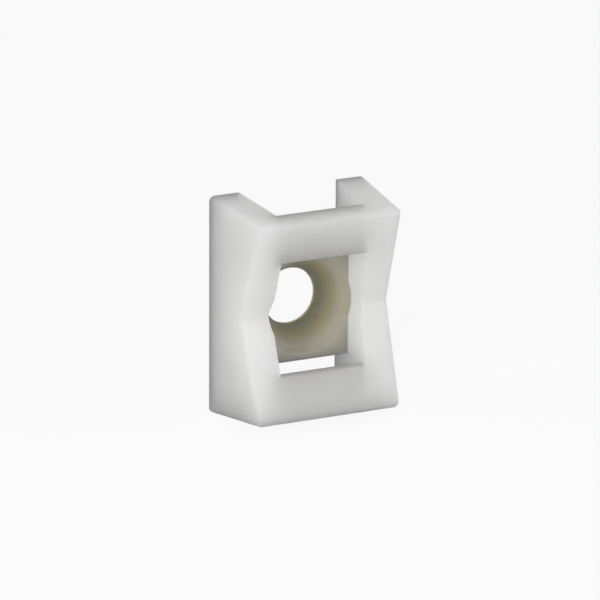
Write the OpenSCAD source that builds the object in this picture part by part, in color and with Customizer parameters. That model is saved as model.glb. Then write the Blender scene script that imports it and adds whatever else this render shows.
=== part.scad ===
// Screw-fixed saddle mount for a cable tie, one moulding in natural nylon.
// The mounting face lies on y = 0 and the cradle opens towards -Y.
// Z runs along the part, and the origin is on the screw's axis at the mounting face.

/* [Body] */
// Width of the mounting face, across the two side walls
body_w = 17; // [15:0.1:22]
// Length of the mounting face
body_l = 22; // [19.5:0.1:30]
// Depth from the mounting face to the tips of the cradle
body_d = 9.5; // [8.5:0.1:13]
// How far each side leans in over the depth
side_lean = 0.8; // [0.3:0.05:1.3]
// How far each end leans in over the depth
end_lean = 0.95; // [0.3:0.05:1.6]
// Radius of the outer edges
edge_r = 0.6; // [0.2:0.05:0.8]

/* [Cradle and tie path] */
// Depth of the V that the cable bundle lies in
cradle_d = 3.55; // [1.5:0.05:4]
// Thickness of each side wall
wall_t = 3.2; // [2.2:0.05:3.3]
// Depth of each crossbar at the tips
bar_d = 2.6; // [2.2:0.05:3.4]
// Length of the window between the crossbars' back edges
window_l = 11.4; // [10.8:0.1:13.6]
// How far each end of the window leans out over the depth of the crossbars
window_lean = 0.15; // [0.05:0.05:0.4]

/* [Floor and screw] */
// Thickness of the floor plate
floor_t = 3.75; // [3:0.05:4.5]
// How far the floor plate stops short of the window at each end
floor_setback = 0.05; // [0.05:0.05:0.4]
// Diameter of the screw hole
screw_d = 5.7; // [4:0.1:6.4]
// Diameter of the countersink's mouth and of the way in for the screw's head
head_d = 10.1; // [9:0.1:10.4]
// Length of the straight hole behind the countersink
land_l = 0.6; // [0.5:0.1:2]

/* [Hidden] */

// Slopes of the leaning faces, in mm of lean for each mm of depth
side_slope = side_lean / body_d;
end_slope = end_lean / body_d;
// Slope of the V, from its valley to the tips where the ends meet the front
tip_z = body_l / 2 - end_lean;
v_slope = cradle_d / tip_z;
valley_d = body_d - cradle_d;

// Depth of the crossbars' back faces, and half the width between the walls there
bar_back_d = body_d - bar_d;
inner_back = body_w / 2 - wall_t;
inner_bar = inner_back - side_slope * bar_back_d;
window_slope = window_lean / bar_d;
floor_l = window_l - 2 * floor_setback;

// A little over, so that no cut ends on a face
over = 1;

// How far a plane moves back along Y or Z when it is inset by the edge radius
function inset(slope) = edge_r * sqrt(1 + slope * slope);

// Centre of the round at depth d, on the inset side planes
function round_x(d) = body_w / 2 - inset(side_slope) - side_slope * d;

// Centres of the rounds in the YZ plane: on the back, at the tip, and where the inset V plane
// runs on past the valley
function round_end_z(d) = body_l / 2 - inset(end_slope) - end_slope * d;
inset_valley_d = valley_d - inset(v_slope);
inset_end_z = body_l / 2 - inset(end_slope);
inset_tip_d = (inset_valley_d + v_slope * inset_end_z) / (1 + v_slope * end_slope);
past_z = -2 * over;
round_centres = [
    [0, inset_end_z],
    [inset_tip_d, round_end_z(inset_tip_d)],
    [inset_valley_d + v_slope * past_z, past_z],
    [0, past_z]
];

// Upper half of the blank, from the valley to the upper end
module upper_half() {
    intersection() {
        hull()
            for (side = [-1, 1], c = round_centres)
                translate([side * round_x(c[0]), -c[0], c[1]])
                    sphere(r = edge_r, $fn = 32);
        translate([-body_w, -body_d - over, 0])
            cube([2 * body_w, body_d + over, body_l]);
    }
}

// Outside of the moulding: leaning sides and ends, a flat back and the V across the front
module blank() {
    upper_half();
    mirror([0, 0, 1]) upper_half();
}

// Way for the tie between the side walls, open at the back and at both ends.
// Its flanks keep the walls at one thickness up to the crossbars.
module tie_channel() {
    back_over = inner_back + side_slope * over;
    difference() {
        translate([0, 0, -body_l])
            linear_extrude(2 * body_l)
                polygon([
                    [-back_over, over],
                    [-inner_bar, -bar_back_d],
                    [inner_bar, -bar_back_d],
                    [back_over, over]
                ]);
        translate([-body_w / 2, -body_d, -floor_l / 2])
            cube([body_w, body_d + 2 * over, floor_l]);
    }
}

// Window between the crossbars, down to the floor plate, with its ends leaning out at the bars
module window() {
    front_z = window_l / 2 + window_slope * (bar_d + over);
    back_z = window_l / 2;
    translate([-inner_bar, 0, 0])
        rotate([90, 0, 90])
            linear_extrude(2 * inner_bar)
                polygon([
                    [-body_d - over, -front_z],
                    [-body_d - over, front_z],
                    [-bar_back_d, back_z],
                    [-floor_t, back_z],
                    [-floor_t, -back_z],
                    [-bar_back_d, -back_z]
                ]);
}

// Along the screw's axis: hole, countersink, and the head's way in, which nicks both walls
module screw_way() {
    rotate([90, 0, 0]) {
        translate([0, 0, -over])
            cylinder(d = screw_d, h = body_d + over, $fn = 64);
        translate([0, 0, land_l])
            cylinder(d1 = screw_d, d2 = head_d, h = floor_t - land_l, $fn = 64);
        translate([0, 0, floor_t])
            cylinder(d = head_d, h = body_d, $fn = 64);
    }
}

module tie_mount() {
    color("#e6e4dc")
        difference() {
            blank();
            tie_channel();
            window();
            screw_way();
        }
}

tie_mount();
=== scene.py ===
"""Looks for a screw-fixed cable tie mount: one satin moulding in natural nylon.

The CAD moulding gives every shape and place. A merged copy of it, with its sharp edges broken as a
mould leaves them, stands for it and takes the translucent nylon.
"""

from math import radians

import bmesh
import bpy
from mathutils import Matrix, Vector


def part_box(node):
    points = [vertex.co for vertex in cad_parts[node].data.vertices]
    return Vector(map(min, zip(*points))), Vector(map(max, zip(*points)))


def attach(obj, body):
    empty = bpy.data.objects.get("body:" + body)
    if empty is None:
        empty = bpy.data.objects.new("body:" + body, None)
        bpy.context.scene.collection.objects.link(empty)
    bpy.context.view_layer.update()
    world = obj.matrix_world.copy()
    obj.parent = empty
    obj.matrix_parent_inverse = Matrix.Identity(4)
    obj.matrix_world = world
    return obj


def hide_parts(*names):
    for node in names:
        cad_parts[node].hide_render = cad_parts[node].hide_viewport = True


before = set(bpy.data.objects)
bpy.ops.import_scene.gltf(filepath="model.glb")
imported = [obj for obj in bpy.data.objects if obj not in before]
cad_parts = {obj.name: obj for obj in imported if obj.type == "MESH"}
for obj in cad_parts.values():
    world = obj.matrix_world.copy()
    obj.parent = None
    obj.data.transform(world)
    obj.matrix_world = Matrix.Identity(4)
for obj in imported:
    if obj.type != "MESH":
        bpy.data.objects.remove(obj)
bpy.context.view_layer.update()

NODE = "tie_mount"
MM = 0.001

# Merging: how close two points are that become one, and how nearly flat two faces are that join
MERGE = 0.002 * MM
FLAT = radians(0.4)

# Sharp edges: how far they are broken, in how many steps, and the least turn that makes one
EDGE_BREAK = 0.16 * MM
EDGE_STEPS = 3
LEAST_TURN = radians(28)

# Nylon: how far light spreads in it, how much it leans forwards, its refraction, and its shine
LIGHT_REACH = 16 * MM
LIGHT_FORWARD = 0.2
REFRACTION = 1.5
SHINE = 0.15

# Milk in it: its two colours, and the size, finer octaves and range of the clouds between them
MILK_LOW = (0.82, 0.82, 0.80)
MILK_HIGH = (0.87, 0.87, 0.86)
CLOUD = 5 * MM
CLOUD_OCTAVES = 2
CLOUD_RANGE = (0.3, 0.7)

# Grain of its skin: its size, its finer octaves, the range of roughness that it gives, and how
# strong and how high its bumps are
GRAIN = 0.4 * MM
GRAIN_OCTAVES = 4
ROUGHNESS = (0.48, 0.64)
GRAIN_STRENGTH = 0.25
GRAIN_HEIGHT = 0.02 * MM

# Floor plate: its thickness, the circle where its countersink opens, and how near counts as on it
FLOOR_DEPTH = 3.75 * MM
MOUTH_RADIUS = 5.05 * MM
NEAR_MOUTH = 0.02 * MM

# Painted shade on the floor plate in the recess, olive and deepest at the screw hole's rim: its
# colours at distances from the screw's axis
PAINTED_SHADE_STOPS = (
    (2.85 * MM, (0.04, 0.034, 0.01)),
    (3.6 * MM, (0.27, 0.24, 0.12)),
    (4.5 * MM, (0.45, 0.42, 0.33)),
    (7.4 * MM, (0.38, 0.37, 0.33)),
)

# Limits of the painted shade: none by the mounting face and full a little in front of it, a fade
# past the plate's front face, and a fade past its reach from the axis, which is near the plate's
# corners
SHADE_NONE = -0.05 * MM
SHADE_FULL = -0.3 * MM
FACE_FADE = 0.3 * MM
SHADE_REACH = 7.4 * MM
REACH_FADE = 0.2 * MM

# Camera: where it stands from the middle of the moulding, its field, and the nearest and farthest
# that it sees in metres
CAMERA_AZIMUTH = radians(-27.4)
CAMERA_ELEVATION = radians(16.65)
CAMERA_ROLL = radians(0.33)
CAMERA_DISTANCE = 600 * MM
CAMERA_LENS = 370.5
CAMERA_SHIFT = (-0.0145, 0.0106)
CAMERA_CLIP = (0.01, 10)

# Lamps: name, degrees round from the front, where left is negative, degrees up, and watts
LAMPS = (
    ("key_lamp", -45, 15, 1.38),
    ("right_lamp", 60, 15, 0.78),
    ("fill_lamp", 30, 15, 0.26),
    ("rear_lamp", -110, 30, 0.28),
)
LAMP_DISTANCE = 450 * MM
LAMP_SIZE = 240 * MM

# Surround: its strength as a light, where 1 is the white that is seen
SURROUND_LIGHT = 0.23

# Floor card: its reach each way in metres, its colour for the light that it throws back and where
# it is seen, its roughness, and how much of its shading it keeps where it is seen
FLOOR_REACH = 1.5
CARD_BOUNCE = (0.3, 0.3, 0.3)
CARD_SEEN = (0.9, 0.9, 0.9)
CARD_ROUGHNESS = 0.9
FLOOR_SHADOW = 0.1


# ---- Moulding -------------------------------------------------------------

def on_countersink_mouth(edge):
    """Whether this edge is part of the circle where the countersink opens in the floor plate."""
    return all(
        abs(Vector((v.co.x, v.co.z)).length - MOUTH_RADIUS) < NEAR_MOUTH
        and abs(v.co.y + FLOOR_DEPTH) < NEAR_MOUTH
        for v in edge.verts
    )


def break_sharp_edges(bm):
    """Rounds the edges where two faces meet at a corner, but keeps the countersink's mouth crisp."""
    to_round = []
    for edge in bm.edges:
        if not edge.is_manifold or edge.calc_face_angle() <= LEAST_TURN:
            continue
        if on_countersink_mouth(edge):
            edge.smooth = False
        else:
            to_round.append(edge)
    bmesh.ops.bevel(
        bm, geom=to_round, offset=EDGE_BREAK, offset_type="OFFSET", affect="EDGES",
        segments=EDGE_STEPS, profile=0.5, material=-1, clamp_overlap=True, harden_normals=False,
    )


def soft_edged_moulding(cad):
    """A merged copy of the CAD moulding with its sharp edges broken, as a new object."""
    mesh = cad.data.copy()
    bm = bmesh.new()
    bm.from_mesh(mesh)
    bmesh.ops.remove_doubles(bm, verts=bm.verts, dist=MERGE)
    bmesh.ops.dissolve_limit(bm, angle_limit=FLAT, verts=bm.verts, edges=bm.edges)
    bmesh.ops.dissolve_degenerate(bm, dist=2 * MERGE, edges=bm.edges)
    break_sharp_edges(bm)
    bmesh.ops.recalc_face_normals(bm, faces=bm.faces)
    bm.to_mesh(mesh)
    bm.free()
    mesh.shade_smooth()
    moulding = bpy.data.objects.new("nylon_moulding", mesh)
    bpy.context.collection.objects.link(moulding)
    shading = moulding.modifiers.new("flat_faces", "WEIGHTED_NORMAL")
    shading.keep_sharp = True
    return moulding


# ---- Values and colours ---------------------------------------------------

def feed(links, value, socket):
    """Gives a socket a number or a colour, or a link where the value comes from another socket."""
    if isinstance(value, bpy.types.NodeSocket):
        links.new(value, socket)
    elif isinstance(value, tuple):
        socket.default_value = (*value, 1)
    else:
        socket.default_value = value


def combine(nodes, links, operation, first, second):
    """Two values put together by this operation. Either may be a number or a socket."""
    step = nodes.new("ShaderNodeMath")
    step.operation = operation
    feed(links, first, step.inputs[0])
    feed(links, second, step.inputs[1])
    return step.outputs[0]


def ramp(nodes, links, value, start, end, at_start=0, at_end=1):
    """A value that runs from at_start to at_end while the given one runs from start to end."""
    step = nodes.new("ShaderNodeMapRange")
    step.inputs["From Min"].default_value = start
    step.inputs["From Max"].default_value = end
    step.inputs["To Min"].default_value = at_start
    step.inputs["To Max"].default_value = at_end
    links.new(value, step.inputs["Value"])
    return step.outputs["Result"]


def blend_colours(nodes, links, share, first, second):
    """first where share is 0, second where it is 1. Either may be a colour or a socket."""
    mix = nodes.new("ShaderNodeMix")
    mix.data_type = "RGBA"
    links.new(share, mix.inputs["Factor"])
    feed(links, first, mix.inputs["A"])
    feed(links, second, mix.inputs["B"])
    return mix.outputs["Result"]


def noise(nodes, links, place, size, octaves):
    """Noise whose features are about this size, with this many finer octaves."""
    texture = nodes.new("ShaderNodeTexNoise")
    texture.inputs["Scale"].default_value = 1 / size
    texture.inputs["Detail"].default_value = octaves
    links.new(place, texture.inputs["Vector"])
    return texture.outputs["Fac"]


# ---- Nylon ----------------------------------------------------------------

def distance_from_screw(nodes, links, place):
    """Distance from the screw's axis, which runs along Y."""
    flat = nodes.new("ShaderNodeVectorMath")
    flat.operation = "MULTIPLY"
    flat.inputs[1].default_value = (1, 0, 1)
    links.new(place, flat.inputs[0])
    length = nodes.new("ShaderNodeVectorMath")
    length.operation = "LENGTH"
    links.new(flat.outputs[0], length.inputs[0])
    return length.outputs["Value"]


def milk_and_painted_shade(nodes, links, place):
    """Colour of the nylon: clouds of milk, and painted olive shade on the floor plate's recess."""
    cloud = noise(nodes, links, place, CLOUD, CLOUD_OCTAVES)
    milk = blend_colours(nodes, links, ramp(nodes, links, cloud, *CLOUD_RANGE), MILK_LOW, MILK_HIGH)

    # The painted shade is deepest at the screw hole's rim
    radius = distance_from_screw(nodes, links, place)
    painted_shade = PAINTED_SHADE_STOPS[0][1]
    for (start, _), (end, shade) in zip(PAINTED_SHADE_STOPS, PAINTED_SHADE_STOPS[1:]):
        painted_shade = blend_colours(nodes, links, ramp(nodes, links, radius, start, end), painted_shade, shade)

    # The painted shade ends at the plate's own faces and corners
    axes = nodes.new("ShaderNodeSeparateXYZ")
    links.new(place, axes.inputs[0])
    depth = axes.outputs["Y"]
    off_back = ramp(nodes, links, depth, SHADE_NONE, SHADE_FULL)
    behind_face = ramp(nodes, links, depth, -FLOOR_DEPTH - FACE_FADE, -FLOOR_DEPTH)
    in_plate = combine(nodes, links, "MULTIPLY", off_back, behind_face)
    within = ramp(nodes, links, radius, SHADE_REACH + REACH_FADE, SHADE_REACH)
    on_plate = combine(nodes, links, "MULTIPLY", in_plate, within)
    return blend_colours(nodes, links, on_plate, milk, painted_shade)


def natural_nylon():
    """Undyed nylon: milky, lit through from side to side, and satin as the mould left it."""
    material = bpy.data.materials.new("satin_nylon")
    material.use_nodes = True
    nodes, links = material.node_tree.nodes, material.node_tree.links
    shader = nodes["Principled BSDF"]
    shader.subsurface_method = "RANDOM_WALK"
    shader.inputs["Subsurface Weight"].default_value = 1.0
    shader.inputs["Subsurface Radius"].default_value = (1.0, 1.0, 1.0)
    shader.inputs["Subsurface Scale"].default_value = LIGHT_REACH
    shader.inputs["Subsurface Anisotropy"].default_value = LIGHT_FORWARD
    shader.inputs["IOR"].default_value = REFRACTION
    shader.inputs["Specular IOR Level"].default_value = SHINE

    place = nodes.new("ShaderNodeTexCoord").outputs["Object"]
    # Base colour: milky clouds, with painted shade on the floor plate round the screw hole
    links.new(milk_and_painted_shade(nodes, links, place), shader.inputs["Base Color"])

    grain = noise(nodes, links, place, GRAIN, GRAIN_OCTAVES)
    links.new(ramp(nodes, links, grain, 0, 1, *ROUGHNESS), shader.inputs["Roughness"])
    bump = nodes.new("ShaderNodeBump")
    bump.inputs["Strength"].default_value = GRAIN_STRENGTH
    bump.inputs["Distance"].default_value = GRAIN_HEIGHT
    links.new(grain, bump.inputs["Height"])
    links.new(bump.outputs["Normal"], shader.inputs["Normal"])
    return material


# ---- Studio ---------------------------------------------------------------

def seen_rays(nodes, links):
    """1 for the rays that show the background: from the camera, mirrored or let through."""
    path = nodes.new("ShaderNodeLightPath")
    seen = path.outputs["Is Camera Ray"]
    for ray in ("Is Glossy Ray", "Is Transmission Ray"):
        seen = combine(nodes, links, "MAXIMUM", seen, path.outputs[ray])
    return seen


def white_surround(light):
    """World: white where it is seen, and a soft even light on the moulding."""
    world = bpy.data.worlds.new("surround")
    bpy.context.scene.world = world
    world.use_nodes = True
    nodes, links = world.node_tree.nodes, world.node_tree.links
    backdrop = nodes["Background"]
    strength = nodes.new("ShaderNodeMix")
    strength.data_type = "FLOAT"
    strength.inputs["A"].default_value = light
    strength.inputs["B"].default_value = 1
    links.new(seen_rays(nodes, links), strength.inputs["Factor"])
    links.new(strength.outputs["Result"], backdrop.inputs["Strength"])
    backdrop.inputs["Color"].default_value = (1, 1, 1, 1)


def floor_card(shadow):
    """Card that glows white where it is seen, but for this share of its own shading."""
    material = bpy.data.materials.new("floor_card")
    material.use_nodes = True
    nodes, links = material.node_tree.nodes, material.node_tree.links
    card = nodes["Principled BSDF"]
    seen = seen_rays(nodes, links)
    card_colour = blend_colours(nodes, links, seen, CARD_BOUNCE, CARD_SEEN)
    links.new(card_colour, card.inputs["Base Color"])
    card.inputs["Roughness"].default_value = CARD_ROUGHNESS
    glow = nodes.new("ShaderNodeEmission")
    mix = nodes.new("ShaderNodeMixShader")
    links.new(combine(nodes, links, "MULTIPLY", seen, 1 - shadow), mix.inputs["Fac"])
    links.new(card.outputs[0], mix.inputs[1])
    links.new(glow.outputs[0], mix.inputs[2])
    links.new(mix.outputs[0], nodes["Material Output"].inputs["Surface"])
    return material


def pale_floor(height, shadow):
    """Floor under the moulding. shadow is how much of its shading it keeps where it is seen."""
    bm = bmesh.new()
    bmesh.ops.create_grid(bm, x_segments=1, y_segments=1, size=FLOOR_REACH)
    bmesh.ops.translate(bm, verts=bm.verts, vec=(0, 0, height))
    mesh = bpy.data.meshes.new("floor")
    bm.to_mesh(mesh)
    bm.free()
    mesh.materials.append(floor_card(shadow))
    floor = bpy.data.objects.new("floor", mesh)
    bpy.context.collection.objects.link(floor)


def soft_lamp(name, azimuth, elevation, power, centre):
    """A square lamp that faces the moulding and isn't seen."""
    light = bpy.data.lights.new(name, "AREA")
    light.shape = "SQUARE"
    light.size = LAMP_SIZE
    light.energy = power
    lamp = bpy.data.objects.new(name, light)
    bpy.context.collection.objects.link(lamp)
    turn = Matrix.Rotation(azimuth, 3, "Z") @ Matrix.Rotation(radians(90) - elevation, 3, "X")
    lamp.matrix_world = turn.to_4x4()
    lamp.location = centre + turn @ Vector((0, 0, LAMP_DISTANCE))
    lamp.visible_camera = False


def front_camera(centre):
    """Long lens, from the left and a little above, turned towards the moulding's middle."""
    data = bpy.data.cameras.new("camera")
    data.lens = CAMERA_LENS
    data.shift_x, data.shift_y = CAMERA_SHIFT
    data.clip_start, data.clip_end = CAMERA_CLIP
    camera = bpy.data.objects.new("camera", data)
    bpy.context.collection.objects.link(camera)
    turn = (
        Matrix.Rotation(CAMERA_AZIMUTH, 3, "Z")
        @ Matrix.Rotation(radians(90) - CAMERA_ELEVATION, 3, "X")
        @ Matrix.Rotation(CAMERA_ROLL, 3, "Z")
    )
    camera.matrix_world = turn.to_4x4()
    camera.location = centre + turn @ Vector((0, 0, CAMERA_DISTANCE))
    bpy.context.scene.camera = camera


low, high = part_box(NODE)
middle = (low + high) / 2

front_camera(middle)
moulding = soft_edged_moulding(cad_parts[NODE])
moulding.data.materials.clear()
moulding.data.materials.append(natural_nylon())
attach(moulding, "root")
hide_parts(NODE)

white_surround(light=SURROUND_LIGHT)
pale_floor(low.z, shadow=FLOOR_SHADOW)
for name, azimuth, elevation, power in LAMPS:
    soft_lamp(name, radians(azimuth), radians(elevation), power, middle)
bpy.context.scene.view_settings.view_transform = "Standard"
